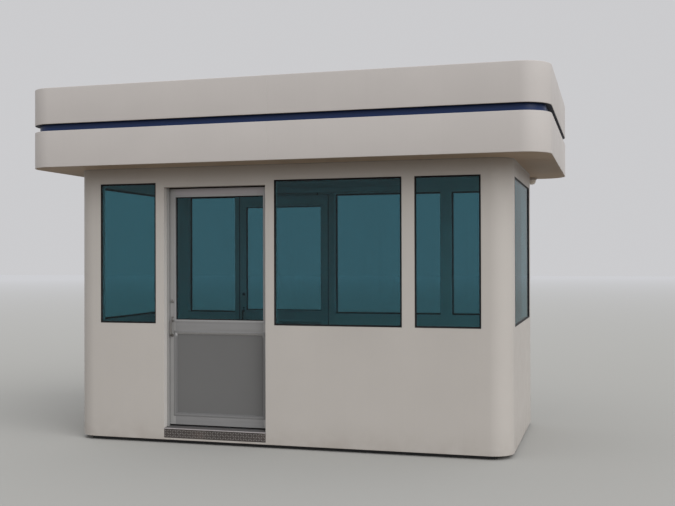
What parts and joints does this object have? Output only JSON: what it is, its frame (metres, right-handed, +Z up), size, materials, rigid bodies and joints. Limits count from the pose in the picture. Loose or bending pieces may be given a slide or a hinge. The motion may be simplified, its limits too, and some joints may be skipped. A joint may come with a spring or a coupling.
{
  "type": "security guard booth",
  "caption": "Freestanding guard booth with rounded corners, tinted windows all round, a wide canopy with a recessed blue stripe and a half-glazed sliding door in each long side.",
  "frame": {"origin": "on the ground at the middle of the booth", "axes": "+X along the front, +Y from the front to the rear, +Z up"},
  "size_m": [4.268, 2.439, 2.934],
  "materials": {
    "wall_paint": "satin off-white paint, lightly weathered",
    "canopy_paint": "satin off-white paint, lightly weathered",
    "soffit_paint": "matt off-white paint",
    "blue_paint": "satin dark blue paint",
    "tinted_glass": "blue-green tinted, clear",
    "end_glass": "lightly tinted, clear",
    "gasket_rubber": "black, matt",
    "door_aluminium": "satin anodised",
    "door_panel_paint": "matt grey",
    "tread_metal": "raised tread pattern, worn and dirty",
    "floor_sheet": "dark grey vinyl sheet",
    "skid_steel": "black paint",
    "roof_sheet": "light grey roofing membrane",
    "light_housing": "frosted, opal",
    "hardware_steel": "satin",
    "hanger_nylon": "black nylon wheels on a steel block"
  },
  "bodies": {
    "booth": {"base_skids": "skid_steel", "floor_deck": "floor_sheet", "front_left_corner": "wall_paint", "front_right_corner": "wall_paint", "rear_left_corner": "wall_paint", "rear_right_corner": "wall_paint", "front_low_walls": "wall_paint", "rear_low_walls": "wall_paint", "left_low_wall": "wall_paint", "right_low_wall": "wall_paint", "front_window_posts": "wall_paint", "rear_window_posts": "wall_paint", "wall_headers": "wall_paint", "door_heads": "wall_paint", "door_sills": "wall_paint", "tread_plates": "tread_metal", "thresholds": "door_aluminium", "front_window_panes": "tinted_glass", "rear_window_panes": "tinted_glass", "left_window_pane": "end_glass", "right_window_pane": "end_glass", "window_gaskets": "gasket_rubber", "soffit_panel": "soffit_paint", "lower_fascia": "canopy_paint", "reveal_band": "blue_paint", "upper_fascia": "canopy_paint", "roof_deck": "roof_sheet", "soffit_light": "light_housing", "strike_jambs": "door_aluminium", "front_door_track": "door_aluminium", "rear_door_track": "door_aluminium", "floor_guides": "hardware_steel"},
    "front_door": {"front_door_stiles": "door_aluminium", "front_door_rails": "door_aluminium", "front_door_glass": "tinted_glass", "front_door_panel": "door_panel_paint", "front_door_pull": "hardware_steel", "front_door_lock": "hardware_steel", "front_door_hangers": "hanger_nylon"},
    "rear_door": {"rear_door_stiles": "door_aluminium", "rear_door_rails": "door_aluminium", "rear_door_glass": "tinted_glass", "rear_door_panel": "door_panel_paint", "rear_door_pull": "hardware_steel", "rear_door_lock": "hardware_steel", "rear_door_hangers": "hanger_nylon"}
  },
  "joints": [
    {"name": "front_door_slide", "type": "slide", "parent": "booth", "child": "front_door", "axis": [1, 0, 0], "range_m": [0, 0.8]},
    {"name": "rear_door_slide", "type": "slide", "parent": "booth", "child": "rear_door", "axis": [1, 0, 0], "range_m": [0, 0.8]}
  ]
}
